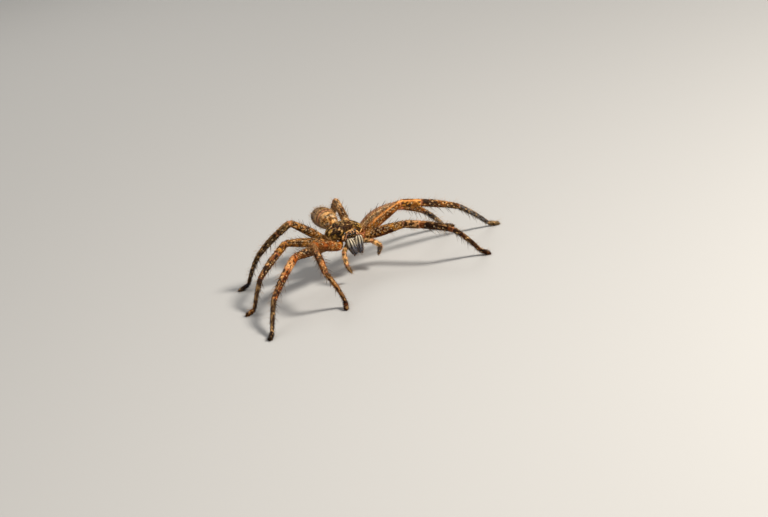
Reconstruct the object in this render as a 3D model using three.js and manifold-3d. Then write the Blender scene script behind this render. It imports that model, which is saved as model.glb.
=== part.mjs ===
// A life-size huntsman spider, standing on its eight feet with its front pair stretched forward.
// Units are millimetres, +Z is up, the head faces -Y, and the spider's right side is -X.
import * as THREE from "three";
import { mergeVertices } from "three/addons/utils/BufferGeometryUtils.js";
import Module from "manifold-3d";

const wasm = await Module();
wasm.setup();

// Driving dimensions of the body
const bodyHeight = 10.7; // middle of the cephalothorax above the floor
const bodyPitch = 5.5; // degrees that the rear is raised
const carapace = { length: 10.8, width: 10.0, height: 2.5, keel: 0.35, headWidth: 0.74, face: -0.9 };
const abdomen = { length: 11.4, width: 5.9, height: 5.4, middleY: 11.45, middleZ: 0.55, droop: 0.4 };
const sternum = { length: 4.8, width: 4.4, depth: 1.75, top: -0.68, middleY: 0.15 };
const labium = { width: 0.84, length: 1.0, depth: 1.2 };
const pedicel = { startY: 3.3, startZ: -0.85, endZ: 0.1, sunk: 1.4, radius: 0.75 };
const chelicera = {
  length: 4.6,
  width: 2.4,
  depth: 2.3,
  lean: 17,
  inward: 0.13, // how far the jaw's line nears its pair for each millimetre of its length
  baseY: -5.45,
  baseZ: 0.5,
  swell: 0.25,
};
const fang = { length: 1.6, radius: 0.32, inward: 20, curl: 0.3, hinge: 0.05 }; // hinge: beside the tip
const spinneret = { baseRadius: 0.9, tipRadius: 0.14, spread: 1.5, sunk: 0.3, sag: 0.25 };
const gap = 0.3; // between pieces that meet face to face
const clear = 0.45; // growth of a copy that cuts its neighbours, so that its slopes keep the gap too
const eyeGap = 0.12; // between an eye and its socket

// Driving dimensions of the legs, one entry for each pair from the front
const femurLength = [11.1, 12.0, 10.3, 10.7];
const tibiaLength = [15.1, 16.8, 12.8, 13.2]; // patella and tibia together, knee to ankle joint
const metatarsusLength = [9.4, 10.2, 8.1, 9.8];
const tarsusLength = [2.8, 2.95, 2.7, 3.0];
const patellaShare = 0.34;
const patellaRise = 4; // degrees that the patella stands above the line from knee to ankle
const thickness = [1.05, 1.03, 0.97, 0.9]; // each pair's girth against the common profile
const hip = [
  [4.0, -4.2], // where each trochanter turns, beside and along the body
  [5.3, -1.6],
  [5.4, 1.3],
  [4.6, 4.2],
];
const drawnHip = { leg4_left: [3.6, 4.8] }; // a hip that is drawn back from its pair's place
const hipDrop = -1.4; // below the middle of the cephalothorax
const coxaInner = [
  [2.15, -2.0],
  [2.65, -0.7],
  [2.7, 0.8],
  [2.2, 2.2],
];
const footRadius = 0.34; // height of the foot's centre line above the floor at its tip
const trochanterRadius = 1.15; // of the ball between coxa and femur
const blend = 0.25; // how far two limbs of one piece run into each other

// The stance: [turn from straight ahead towards +X, rise above level] in degrees
const stance = {
  leg1_right: { femur: [-59, 24.5], tibia: [-15, -11], metatarsus: [98, -69], tarsusTurn: -24 },
  leg2_right: { femur: [-73.5, 8.5], tibia: [-49, -17], metatarsus: [-34.5, -29], tarsusTurn: -40 },
  leg3_right: { femur: [-107, 15], tibia: [-67, -23], metatarsus: [-55.5, -46.5], tarsusTurn: -95 },
  leg4_right: { femur: [-89, 43], tibia: [-126.5, -35.5], metatarsus: [-147.5, -55.5], tarsusTurn: -106 },
  leg1_left: { femur: [54, 8.5], tibia: [29, -5.5], metatarsus: [81.5, -53.5], tarsusTurn: 44 },
  leg2_left: { femur: [65.5, 27.5], tibia: [85.5, -22], metatarsus: [88, -45.5], tarsusTurn: 62 },
  leg3_left: { femur: [72, 22], tibia: [112.5, -29], metatarsus: [103, -50], tarsusTurn: 52 },
  leg4_left: { femur: [168.5, 27.5], tibia: [170, -36], metatarsus: [170, -36.5], tarsusTurn: 152 },
};

// Girth along each segment: [share of its length, radius]
const girth = {
  coxa: [[0, 0.58], [0.4, 0.86], [1, 1.12]],
  femur: [[0, 1.02], [0.12, 1.14], [0.35, 1.33], [0.62, 1.25], [0.88, 1.0], [1, 0.95]],
  patella: [[0, 0.97], [0.35, 1.07], [1, 1.02]],
  tibia: [[0, 1.0], [0.3, 1.01], [0.7, 0.85], [1, 0.75]],
  metatarsus: [[0, 0.71], [0.15, 0.64], [0.6, 0.55], [1, 0.5]],
  tarsus: [[0, 0.5], [0.45, 0.52], [0.9, 0.5], [1, 0.38]],
};
const sectionDepth = 0.9; // a leg is a little deeper than it is wide
const femurBow = 0.15;
const archedFemurBow = { leg3_left: 0.9 }; // a femur that arches more than the others
const tibiaBow = 0.2;
const metatarsusBow = 0.3;

// Spines: where they stand along each segment, and their bearings round it (90 is on top)
const spineRadius = 0.31; // at the root
const spineLean = 48; // degrees from the segment towards its tip
const spineSunk = 0.45; // how deep the root lies, as a share of the limb's radius
const spineVary = { bearing: 14, lean: 10, length: 0.24, share: 0.025 };
const spines = {
  femur: { shares: [0.42, 0.68], bearings: [30, 90, 150], length: 1.7 },
  tibia: { shares: [0.42, 0.72], bearings: [0, 180, 270], length: 2.3 },
  metatarsus: { shares: [0.2, 0.52], bearings: [215, 325], length: 2.1 },
};

// The feelers beside the jaws: lengths, the stance as for the legs, the root and the girth
const palpLengths = [3.6, 3.4, 2.5];
const palpStance = {
  palp_right: { femur: [-38, -8], tibia: [-22, -48], tarsus: [60, -72] },
  palp_left: { femur: [36, 2], tibia: [100, -45], tarsus: [-60, -45] },
};
const palpRoot = { innerX: 1.2, innerY: -3.3, x: 1.95, y: -4.4, z: -2.0, radius: 0.55 };
const palpBow = 0.12;
const palpGirth = {
  coxa: [[0, 0.45], [0.6, 0.56], [1, 0.54]],
  femur: [[0, 0.52], [0.6, 0.62], [1, 0.58]],
  tibia: [[0, 0.6], [0.3, 0.64], [1, 0.58]],
  tarsus: [[0, 0.58], [0.3, 0.6], [0.8, 0.44], [1, 0.22]],
};

const colours = {
  carapace: 0x4a2c1a,
  abdomen: 0x9a8060,
  leg: 0x9c6a3c,
  foot: 0x5a4636,
  chelicera: 0x3a3634,
  fang: 0x2a1410,
  eye: 0x0c0a0a,
  palp: 0xa8783c,
  underside: 0x8a5a34,
};

const material = Object.fromEntries(
  Object.entries(colours).map(([name, color]) => [
    name,
    new THREE.MeshStandardMaterial({ color, roughness: name === "eye" ? 0.15 : 0.7, metalness: 0 }),
  ]),
);

const radians = THREE.MathUtils.degToRad;
const up = new THREE.Vector3(0, 0, 1);
const sides = [["right", -1], ["left", 1]];

// The side that a name tells, -1 for right and 1 for left
function sideOf(name) {
  return name.endsWith("_right") ? -1 : 1;
}

// The pair that a leg's name tells, counted from 0 in front
function pairOf(name) {
  return Number(name[3]) - 1;
}

// A repeatable random number from 0 to 1
let seed = 7;
function random() {
  seed = (seed * 16807) % 2147483647;
  return seed / 2147483647;
}

function solidOf(places, triangles) {
  return new wasm.Manifold(
    new wasm.Mesh({ numProp: 3, vertProperties: places, triVerts: new Uint32Array(triangles) }),
  );
}

// A closed geometry as a solid, with its shared vertices merged and collapsed triangles left out
function solid(geometry) {
  const bare = geometry.clone();
  bare.deleteAttribute("normal");
  bare.deleteAttribute("uv");
  const merged = mergeVertices(bare, 1e-4);
  const places = new Float32Array(merged.attributes.position.array);
  const corners = merged.index.array;
  const triangles = [];
  for (let i = 0; i < corners.length; i += 3) {
    const [a, b, c] = [corners[i], corners[i + 1], corners[i + 2]];
    if (a !== b && b !== c && c !== a) triangles.push(a, b, c);
  }
  const made = solidOf(places, triangles);
  return made.volume() > 0 ? made : solidOf(places, triangles.reverse());
}

// The largest closed body of a solid, as a geometry
function geometryOf(shape) {
  const largest = shape.decompose().reduce((a, b) => (a.volume() > b.volume() ? a : b));
  const { numProp, numVert, vertProperties, triVerts } = largest.getMesh();
  const places = new Float32Array(numVert * 3);
  for (let i = 0; i < numVert; i++) {
    places.set(vertProperties.subarray(i * numProp, i * numProp + 3), i * 3);
  }
  const made = new THREE.BufferGeometry();
  made.setAttribute("position", new THREE.BufferAttribute(places, 3));
  made.setIndex(new THREE.BufferAttribute(new Uint32Array(triVerts), 1));
  made.computeVertexNormals();
  return made;
}

function named(name, shape, look) {
  const mesh = new THREE.Mesh(geometryOf(shape), material[look]);
  mesh.name = name;
  return mesh;
}

// The unit vector of a [turn, rise] pair
function heading([turn, rise]) {
  const [a, e] = [radians(turn), radians(rise)];
  return new THREE.Vector3(Math.sin(a) * Math.cos(e), -Math.cos(a) * Math.cos(e), Math.sin(e));
}

function along(start, direction, distance) {
  return start.clone().addScaledVector(direction, distance);
}

// The matrix that carries +Y to a direction and keeps +Z as near to upright as it can be
function facing(start, direction) {
  const y = direction.clone().normalize();
  const x = new THREE.Vector3().crossVectors(y, up).normalize();
  const z = new THREE.Vector3().crossVectors(x, y);
  return new THREE.Matrix4().makeBasis(x, y, z).setPosition(start);
}

function move(geometry, change) {
  const place = geometry.attributes.position;
  const point = new THREE.Vector3();
  for (let i = 0; i < place.count; i++) {
    change(point.fromBufferAttribute(place, i));
    place.setXYZ(i, point.x, point.y, point.z);
  }
  return geometry;
}

// A round limb from one joint to the next, bowed upwards, that runs on past each joint for a later cut
function limb(start, end, profile, { scale = 1, sides = 9, bow = 0, before = 0, after = 0 } = {}) {
  const span = start.distanceTo(end);
  const points = profile.map(([share, radius]) => new THREE.Vector2(radius * scale, share * span));
  const [first, last] = [points[0], points[points.length - 1]];
  if (before) points.unshift(new THREE.Vector2(first.x, -before));
  if (after) points.push(new THREE.Vector2(last.x, span + after));
  points.unshift(new THREE.Vector2(0, points[0].y));
  points.push(new THREE.Vector2(0, points[points.length - 1].y));
  const shape = move(new THREE.LatheGeometry(points, sides), (p) => {
    const share = THREE.MathUtils.clamp(p.y / span, 0, 1);
    p.x *= sectionDepth;
    p.z += bow * 4 * share * (1 - share);
  });
  return solid(shape.applyMatrix4(facing(start, end.clone().sub(start))));
}

function ball(centre, radius, columns = 12, rows = 8) {
  return solid(new THREE.SphereGeometry(radius, columns, rows).translate(centre.x, centre.y, centre.z));
}

// The plane half-way between two segments at their joint: what it keeps of either side
function nearSide(shape, joint, towards, away) {
  const n = towards.clone().add(away).normalize().negate();
  return shape.trimByPlane(n.toArray(), joint.dot(n) + gap / 2);
}

function farSide(shape, joint, towards, away) {
  const n = towards.clone().add(away).normalize();
  return shape.trimByPlane(n.toArray(), joint.dot(n) + gap / 2);
}

// How far a segment runs past its joint before the slanted cut
function overrun(towards, away, radius) {
  return radius * Math.tan(towards.angleTo(away) / 2) + gap;
}

function radiusAt(profile, share) {
  const next = Math.max(1, profile.findIndex(([s]) => s >= share));
  const [[s0, r0], [s1, r1]] = [profile[next - 1], profile[next]];
  return r0 + ((r1 - r0) * (share - s0)) / (s1 - s0);
}

// A random number from -1/2 to 1/2 times a width
function vary(width) {
  return width * (random() - 0.5);
}

// One tapered spine, rooted in a limb and leaning to its tip
function spine({ start, end, profile, scale, bow }, share, bearing, length) {
  const radius = radiusAt(profile, share) * scale;
  const turned = radians(bearing + vary(spineVary.bearing));
  const lean = radians(spineLean + vary(spineVary.lean));
  const out = new THREE.Vector3(Math.cos(turned), 0, Math.sin(turned));
  const direction = out.clone().multiplyScalar(Math.sin(lean)).setY(Math.cos(lean));
  const root = out.clone().multiplyScalar((1 - spineSunk) * radius);
  root.x *= sectionDepth;
  root.y = share * start.distanceTo(end) - spineSunk * radius;
  root.z += bow * 4 * share * (1 - share);
  const whole = length * (1 + vary(spineVary.length)) + spineSunk * radius;
  const cone = new THREE.ConeGeometry(spineRadius, whole, 4).translate(0, whole / 2, 0);
  cone.applyQuaternion(new THREE.Quaternion().setFromUnitVectors(new THREE.Vector3(0, 1, 0), direction));
  cone.translate(root.x, root.y, root.z);
  return solid(cone.applyMatrix4(facing(start, end.clone().sub(start))));
}

function spineRows(kind, segment) {
  const { shares, bearings, length } = spines[kind];
  return shares.flatMap((share) =>
    bearings.map((bearing, i) => spine(segment, share + spineVary.share * (i % 2), bearing, length)),
  );
}

function joined(shapes) {
  return shapes.reduce((a, b) => a.add(b));
}

// The body's own frame, raised and pitched
const body = new THREE.Group();
body.position.z = bodyHeight;
body.rotation.x = radians(bodyPitch);
body.updateMatrix();

function inBody(x, y, z) {
  return new THREE.Vector3(x, y, z).applyMatrix4(body.matrix);
}

// Outline of the carapace: its width at a share from the middle, -1 in front to 1 behind
function carapaceNarrowing(share) {
  return 1 - (1 - carapace.headWidth) * THREE.MathUtils.smoothstep(-share, 0.28, 0.86);
}

function eyePlaces() {
  const rows = [
    { name: "front_inner", at: [0.36, -4.99, 1.02], radius: 0.2 },
    { name: "front_outer", at: [1.06, -4.89, 1.04], radius: 0.3 },
    { name: "back_inner", at: [0.55, -4.55, 1.56], radius: 0.22 },
    { name: "back_outer", at: [1.5, -4.2, 1.5], radius: 0.3 },
  ];
  return rows.flatMap(({ name, at: [x, y, z], radius }) =>
    sides.map(([word, side]) => ({
      name: `eye_${name}_${word}`,
      place: new THREE.Vector3(side * x, y, z),
      radius,
    })),
  );
}

// The shield over the legs: a low dome with a raised head and a flat face, larger all round by grow
function carapaceBlank(grow = 0) {
  const { length, width, height, keel, face } = carapace;
  const shape = move(new THREE.SphereGeometry(1, 26, 14).rotateX(Math.PI / 2), (p) => {
    const share = p.y;
    const head = 0.14 * Math.exp(-((p.x / 0.5) ** 2) - ((share + 0.62) / 0.34) ** 2);
    const dome = Math.sign(p.z) * Math.abs(p.z) ** 0.9;
    const slope = 0.86 + 0.16 * THREE.MathUtils.smoothstep(share, face, 0.5);
    p.x *= (width / 2 + grow) * carapaceNarrowing(share);
    p.y = Math.max(share, face) * (length / 2 + grow);
    p.z = p.z > 0 ? (height + grow) * dome * (slope + head) : (keel + grow) * dome;
  });
  return solid(shape);
}

function carapaceSolid() {
  const sockets = eyePlaces().map((eye) => ball(eye.place, eye.radius + eyeGap, 8, 6));
  return carapaceBlank().subtract(joined(sockets));
}

// The abdomen: a long egg, a little wider behind, that droops to the spinnerets
function abdomenSolid(grow = 0) {
  const { length, width, height, middleY, middleZ, droop } = abdomen;
  const shape = move(new THREE.SphereGeometry(1, 22, 16).rotateX(Math.PI / 2), (p) => {
    const share = p.y;
    const girth = 1 + 0.12 * share * (1 - share * share);
    p.x *= (width / 2 + grow) * girth;
    p.y = middleY + share * (length / 2 + grow);
    p.z = middleZ + p.z * (height / 2 + grow) * girth - droop * Math.max(0, share) ** 2;
  });
  return solid(shape);
}

// The waist, cut clear of the pieces before and behind it
function pedicelSolid() {
  const { startY, startZ, endZ, sunk, radius } = pedicel;
  const start = new THREE.Vector3(0, startY, startZ);
  const end = new THREE.Vector3(0, abdomen.middleY - abdomen.length / 2 + sunk, endZ);
  return limb(start, end, [[0, radius], [1, radius]], { sides: 10 })
    .subtract(carapaceBlank(clear))
    .subtract(abdomenSolid(clear));
}

function sternumSolid() {
  const { length, width, depth, top, middleY } = sternum;
  const shape = move(new THREE.SphereGeometry(1, 20, 10).rotateX(Math.PI / 2), (p) => {
    p.x *= (width / 2) * (1 - 0.3 * Math.max(0, p.y) ** 2);
    p.y = (p.y * length) / 2 + middleY;
    p.z = p.z > 0 ? top - gap * (1 - p.z) : top - depth * Math.abs(p.z) ** 0.7;
  });
  return solid(shape);
}

function labiumSolid() {
  const { width, length, depth } = labium;
  const y = sternum.middleY - (sternum.length + length) / 2 - gap;
  const shape = new THREE.SphereGeometry(1, 12, 8).scale(width / 2, length / 2, depth / 2);
  return solid(shape.translate(0, y, sternum.top - sternum.depth * 0.62));
}

// From a jaw's own frame, +Y towards its tip, to the body's
function hungFromFace(geometry, side) {
  const { width, lean, baseY, baseZ } = chelicera;
  return geometry
    .rotateX(-Math.PI / 2 - radians(lean))
    .translate((side * (width + gap)) / 2, baseY, baseZ);
}

// A stout tapered jaw that hangs from the front of the head, larger all round by grow
function cheliceraBlank(side, grow = 0) {
  const { length, width, depth, swell, inward } = chelicera;
  const profile = [[0, 0.5], [0.07, 0.86], [0.2, 1.02], [0.36, 1.05], [0.6, 0.95], [0.84, 0.76], [1, 0.46]];
  const closed = [[0, 0], ...profile, [1, 0]];
  const points = closed.map(([share, radius]) => new THREE.Vector2(radius, share * (length + grow)));
  const shape = new THREE.LatheGeometry(points, 16).scale(width / 2 + grow, 1, depth / 2 + grow);
  move(shape, (p) => {
    p.z += swell * Math.sin((Math.PI * p.y) / length);
    p.x -= side * inward * p.y;
  });
  return solid(hungFromFace(shape, side));
}

// The jaw itself, flat where it faces its pair
function cheliceraSolid(side) {
  return cheliceraBlank(side).trimByPlane([side, 0, 0], gap / 2).subtract(carapaceBlank(clear));
}

// A fang folded inwards and back under the tip of its jaw
function fangSolid(side) {
  const { length, radius, inward, curl, hinge } = fang;
  const cone = new THREE.ConeGeometry(radius, length, 8, 4).translate(0, length / 2, 0);
  move(cone, (p) => {
    p.z += curl * (p.y / length) ** 2;
  });
  cone.rotateX(Math.PI / 2).rotateY(radians(-side * inward));
  cone.translate(side * hinge, chelicera.length + gap + radius, -length * 0.3);
  return solid(hungFromFace(cone, side));
}

// Six small spinning cones on a short base, behind the abdomen
function spinneretSolid() {
  const { baseRadius, tipRadius, spread, sunk, sag } = spinneret;
  const rear = abdomen.middleY + abdomen.length / 2;
  const rows = [
    { x: 0.42, z: -0.32, length: 1.3 },
    { x: 0.5, z: 0.22, length: 1.5 },
    { x: 0.16, z: -0.02, length: 0.9 },
  ];
  const baseStart = new THREE.Vector3(0, rear - baseRadius, 0);
  const baseEnd = new THREE.Vector3(0, rear + sunk, -sag / 2);
  const base = limb(baseStart, baseEnd, [[0, baseRadius], [1, baseRadius * 0.8]]);
  const cones = rows.flatMap(({ x, z, length }) =>
    [-1, 1].map((side) => {
      const start = new THREE.Vector3(side * x, rear - sunk, z);
      const end = new THREE.Vector3(side * x * spread, rear + length, z - sag);
      return limb(start, end, [[0, 0.34], [0.7, 0.26], [1, tipRadius]], { sides: 7 });
    }),
  );
  return joined([base, ...cones]).subtract(abdomenSolid(clear));
}

// The unit vector from one joint to the next
function line(from, to) {
  return to.clone().sub(from).normalize();
}

// The joints of one leg, from the hip to the tip of the foot
function jointsOf(name, { femur, tibia, metatarsus, tarsusTurn }) {
  const pair = pairOf(name);
  const side = sideOf(name);
  const [hipX, hipY] = drawnHip[name] ?? hip[pair];
  const [coxaX, coxaY] = coxaInner[pair];
  const inner = inBody(side * coxaX, coxaY, hipDrop);
  const trochanter = inBody(side * hipX, hipY, hipDrop);
  const knee = along(trochanter, heading(femur), femurLength[pair]);
  const patella = heading([tibia[0], tibia[1] + patellaRise]);
  const patellaEnd = along(knee, patella, tibiaLength[pair] * patellaShare);
  const ankle = along(knee, heading(tibia), tibiaLength[pair]);
  const heel = along(ankle, heading(metatarsus), metatarsusLength[pair]);
  const drop = THREE.MathUtils.radToDeg(Math.asin((heel.z - footRadius) / tarsusLength[pair]));
  const toe = along(heel, heading([tarsusTurn, -drop]), tarsusLength[pair]);
  return { inner, trochanter, knee, patellaEnd, ankle, heel, toe };
}

function legMeshes(name, angles) {
  const pair = pairOf(name);
  const { inner, trochanter, knee, patellaEnd, ankle, heel, toe } = jointsOf(name, angles);
  const scale = thickness[pair];
  const [femur, patella, tibia] = [line(trochanter, knee), line(knee, patellaEnd), line(patellaEnd, ankle)];
  const [metatarsus, tarsus] = [line(ankle, heel), line(heel, toe)];
  const kneePast = overrun(femur, patella, girth.patella[0][1] * scale);
  const anklePast = overrun(tibia, metatarsus, girth.metatarsus[0][1] * scale);
  const heelPast = overrun(metatarsus, tarsus, girth.tarsus[0][1] * scale);

  const arch = archedFemurBow[name] ?? femurBow;
  const thighLine = { start: trochanter, end: knee, profile: girth.femur, scale, bow: arch };
  const thighLimb = limb(trochanter, knee, girth.femur, { scale, bow: arch, after: kneePast });
  const thigh = joined([
    limb(inner, trochanter, girth.coxa, { scale, sides: 8, after: blend }),
    ball(trochanter, trochanterRadius * scale, 10, 6),
    nearSide(thighLimb, knee, femur, patella),
    ...spineRows("femur", thighLine),
  ]);

  const shinLine = { start: patellaEnd, end: ankle, profile: girth.tibia, scale, bow: tibiaBow };
  const shinLimbs = joined([
    limb(knee, patellaEnd, girth.patella, { scale, before: kneePast, after: blend }),
    limb(patellaEnd, ankle, girth.tibia, { scale, bow: tibiaBow, before: blend, after: anklePast }),
  ]);
  const shinCut = nearSide(farSide(shinLimbs, knee, femur, patella), ankle, tibia, metatarsus);
  const shin = joined([shinCut, ...spineRows("tibia", shinLine)]);

  const shankLine = { start: ankle, end: heel, profile: girth.metatarsus, scale, bow: metatarsusBow };
  const shankLimb = limb(ankle, heel, girth.metatarsus, {
    scale,
    sides: 8,
    bow: metatarsusBow,
    before: anklePast,
    after: heelPast,
  });
  const shankCut = nearSide(farSide(shankLimb, ankle, tibia, metatarsus), heel, metatarsus, tarsus);
  const shank = joined([shankCut, ...spineRows("metatarsus", shankLine)]);

  const footLimb = limb(heel, toe, girth.tarsus, { scale, sides: 8, before: heelPast });
  const foot = farSide(footLimb, heel, metatarsus, tarsus).trimByPlane(up.toArray(), 0);

  return [
    named(name + "_femur", thigh, "leg"),
    named(name + "_tibia", shin, "leg"),
    named(name + "_metatarsus", shank, "foot"),
    named(name + "_tarsus", foot, "foot"),
  ];
}

function palpMeshes(name, angles) {
  const side = sideOf(name);
  const inner = inBody(side * palpRoot.innerX, palpRoot.innerY, palpRoot.z);
  const root = inBody(side * palpRoot.x, palpRoot.y, palpRoot.z);
  const knee = along(root, heading(angles.femur), palpLengths[0]);
  const ankle = along(knee, heading(angles.tibia), palpLengths[1]);
  const tip = along(ankle, heading(angles.tarsus), palpLengths[2]);
  const [femur, tibia, tarsus] = [line(root, knee), line(knee, ankle), line(ankle, tip)];
  const kneePast = overrun(femur, tibia, palpGirth.tibia[0][1]);
  const anklePast = overrun(tibia, tarsus, palpGirth.tarsus[0][1]);
  const jaw = cheliceraBlank(side, gap).transform(body.matrix.elements);

  const upperLimb = limb(root, knee, palpGirth.femur, { bow: palpBow, after: kneePast });
  const upper = joined([
    limb(inner, root, palpGirth.coxa, { after: blend }),
    ball(root, palpRoot.radius, 8, 6),
    nearSide(upperLimb, knee, femur, tibia),
  ]).subtract(jaw);
  const middle = limb(knee, ankle, palpGirth.tibia, { bow: palpBow, before: kneePast, after: anklePast });
  const lower = limb(ankle, tip, palpGirth.tarsus, { before: anklePast });
  return [
    named(name + "_femur", upper, "palp"),
    named(name + "_tibia", nearSide(farSide(middle, knee, femur, tibia), ankle, tibia, tarsus), "palp"),
    named(name + "_tarsus", farSide(lower, ankle, tibia, tarsus), "palp"),
  ];
}

body.add(named("carapace", carapaceSolid(), "carapace"));
body.add(named("abdomen", abdomenSolid(), "abdomen"));
body.add(named("pedicel", pedicelSolid(), "underside"));
body.add(named("sternum", sternumSolid(), "underside"));
body.add(named("labium", labiumSolid(), "underside"));
body.add(named("spinnerets", spinneretSolid(), "abdomen"));
for (const [word, side] of sides) {
  body.add(named("chelicera_" + word, cheliceraSolid(side), "chelicera"));
  body.add(named("fang_" + word, fangSolid(side), "fang"));
}
for (const { name, place, radius } of eyePlaces()) {
  body.add(named(name, ball(place, radius, 8, 6), "eye"));
}

// The origin lies on the floor under the middle of the stance
const spider = new THREE.Group();
spider.add(body);
for (const [name, angles] of Object.entries(stance)) spider.add(...legMeshes(name, angles));
for (const [name, angles] of Object.entries(palpStance)) spider.add(...palpMeshes(name, angles));
const extent = new THREE.Box3().setFromObject(spider, true);
spider.position.set(-(extent.min.x + extent.max.x) / 2, -(extent.min.y + extent.max.y) / 2, 0);

const model = new THREE.Group();
model.add(spider);

export default model;
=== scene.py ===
from collections import namedtuple
from math import asin, ceil, cos, degrees, pi, radians, sin, sqrt

import bpy
import mathutils
import numpy as np
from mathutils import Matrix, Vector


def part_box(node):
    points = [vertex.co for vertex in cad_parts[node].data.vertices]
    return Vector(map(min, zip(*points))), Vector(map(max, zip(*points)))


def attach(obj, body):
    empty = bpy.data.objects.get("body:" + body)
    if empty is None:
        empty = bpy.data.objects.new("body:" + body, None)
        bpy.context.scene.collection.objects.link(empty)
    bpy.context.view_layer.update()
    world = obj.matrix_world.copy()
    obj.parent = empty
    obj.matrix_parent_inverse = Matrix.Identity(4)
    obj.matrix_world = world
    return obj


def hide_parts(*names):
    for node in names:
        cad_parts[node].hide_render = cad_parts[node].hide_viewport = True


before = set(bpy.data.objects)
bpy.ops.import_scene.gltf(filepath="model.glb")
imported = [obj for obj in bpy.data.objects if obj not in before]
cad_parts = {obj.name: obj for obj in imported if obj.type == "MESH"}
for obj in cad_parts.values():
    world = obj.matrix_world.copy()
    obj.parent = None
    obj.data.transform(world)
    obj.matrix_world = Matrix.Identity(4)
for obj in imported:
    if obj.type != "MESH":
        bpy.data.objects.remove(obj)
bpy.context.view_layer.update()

MM = 0.001
UP = np.array([0.0, 0.0, 1.0])
FAR = 9.0  # a distance beyond all that count
SIDES = {"right": -1, "left": 1}
draw = np.random.default_rng(20)

# Sizes of the body, as the solids have them
BODY_HEIGHT = 10.7
BODY_PITCH = 5.5
CARAPACE = {"length": 10.8, "width": 10.0, "height": 2.5, "keel": 0.35, "head_width": 0.74, "face": -0.9}
ABDOMEN = {"length": 11.4, "width": 5.9, "height": 5.4, "middle_y": 11.45, "middle_z": 0.55, "droop": 0.4}
STERNUM = {"length": 4.8, "width": 4.4, "depth": 1.75, "top": -0.68, "middle_y": 0.15}
PEDICEL = ((0, 3.3, -0.85), (0, 7.1, 0.1))
CHELICERA = {"length": 4.6, "width": 2.4, "depth": 2.3, "lean": 17, "inward": 0.13, "swell": 0.25}
JAW_TOP = {"y": -5.45, "z": 0.5}
FANG = {"length": 1.6, "radius": 0.32, "inward": 20, "curl": 0.3, "hinge": 0.05}
GAP = 0.3  # between most neighbouring solids
# Place and radius of each left eye, and of all eight
EYES = {
    "front_inner": (0.36, -4.99, 1.02, 0.2),
    "front_outer": (1.06, -4.89, 1.04, 0.3),
    "back_inner": (0.55, -4.55, 1.56, 0.22),
    "back_outer": (1.5, -4.2, 1.5, 0.3),
}
ALL_EYES = [(side * x, y, z, radius) for x, y, z, radius in EYES.values() for side in SIDES.values()]

# Sizes and stance of the legs, as the solids have them
FEMUR = [11.1, 12.0, 10.3, 10.7]
TIBIA = [15.1, 16.8, 12.8, 13.2]
METATARSUS = [9.4, 10.2, 8.1, 9.8]
TARSUS = [2.8, 2.95, 2.7, 3.0]
PATELLA_SHARE = 0.34
PATELLA_RISE = 4
THICKNESS = [1.05, 1.03, 0.97, 0.9]
HIP = [(4.0, -4.2), (5.3, -1.6), (5.4, 1.3), (4.6, 4.2)]
COXA = [(2.15, -2.0), (2.65, -0.7), (2.7, 0.8), (2.2, 2.2)]
DRAWN_HIP = {"leg4_left": (3.6, 4.8)}
HIP_DROP = -1.4
FOOT_RADIUS = 0.34
# Turn and rise of femur, tibia and metatarsus, and turn of the tarsus, in degrees
STANCE = {
    "leg1_right": ((-59, 24.5), (-15, -11), (98, -69), -24),
    "leg2_right": ((-73.5, 8.5), (-49, -17), (-34.5, -29), -40),
    "leg3_right": ((-107, 15), (-67, -23), (-55.5, -46.5), -95),
    "leg4_right": ((-89, 43), (-126.5, -35.5), (-147.5, -55.5), -106),
    "leg1_left": ((54, 8.5), (29, -5.5), (81.5, -53.5), 44),
    "leg2_left": ((65.5, 27.5), (85.5, -22), (88, -45.5), 62),
    "leg3_left": ((72, 22), (112.5, -29), (103, -50), 52),
    "leg4_left": ((168.5, 27.5), (170, -36), (170, -36.5), 152),
}
IN_COXA, IN_FEMUR, IN_PATELLA, IN_TIBIA, IN_METATARSUS, IN_TARSUS = range(6)
# Share along each segment and the radius there, before the leg's thickness, and each segment's bow
GIRTH = [
    [(0, 0.58), (0.4, 0.86), (1, 1.12)],
    [(0, 1.02), (0.12, 1.14), (0.35, 1.33), (0.62, 1.25), (0.88, 1.0), (1, 0.95)],
    [(0, 0.97), (0.35, 1.07), (1, 1.02)],
    [(0, 1.0), (0.3, 1.01), (0.7, 0.85), (1, 0.75)],
    [(0, 0.71), (0.15, 0.64), (0.6, 0.55), (1, 0.5)],
    [(0, 0.5), (0.45, 0.52), (0.9, 0.5), (1, 0.38)],
]
BOWS = [0, 0.15, 0, 0.2, 0.3, 0]
ARCHED_FEMUR = {"leg3_left": 0.9}
SECTION_WIDTH = 0.9  # a limb's width as a share of its height
PALP_LENGTHS = [3.6, 3.4, 2.5]
# Turn and rise of each piece
PALP_STANCE = {
    "palp_right": ((-38, -8), (-22, -48), (60, -72)),
    "palp_left": ((36, 2), (100, -45), (-60, -45)),
}
PALP_ROOT = ((1.2, -3.3, -2.0), (1.95, -4.4, -2.0))
PALP_GIRTH = [
    [(0, 0.45), (0.6, 0.56), (1, 0.54)],
    [(0, 0.52), (0.6, 0.62), (1, 0.58)],
    [(0, 0.6), (0.3, 0.64), (1, 0.58)],
    [(0, 0.58), (0.3, 0.6), (0.8, 0.44), (1, 0.22)],
]
PALP_BOWS = [0, 0.12, 0.12, 0]
SKIN_GIRTH = 0.94  # as a share of the solids'
# The fold at a joint and the rim beside it: place, half width, and depth or height as a share of the girth
FOLD = {"half": 0.2, "depth": 0.15, "rim": 0.42, "rim_half": 0.22, "rim_height": 0.03}
ROOT_LENGTH = 0.3  # over which a limb grows from a point to its girth
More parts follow.
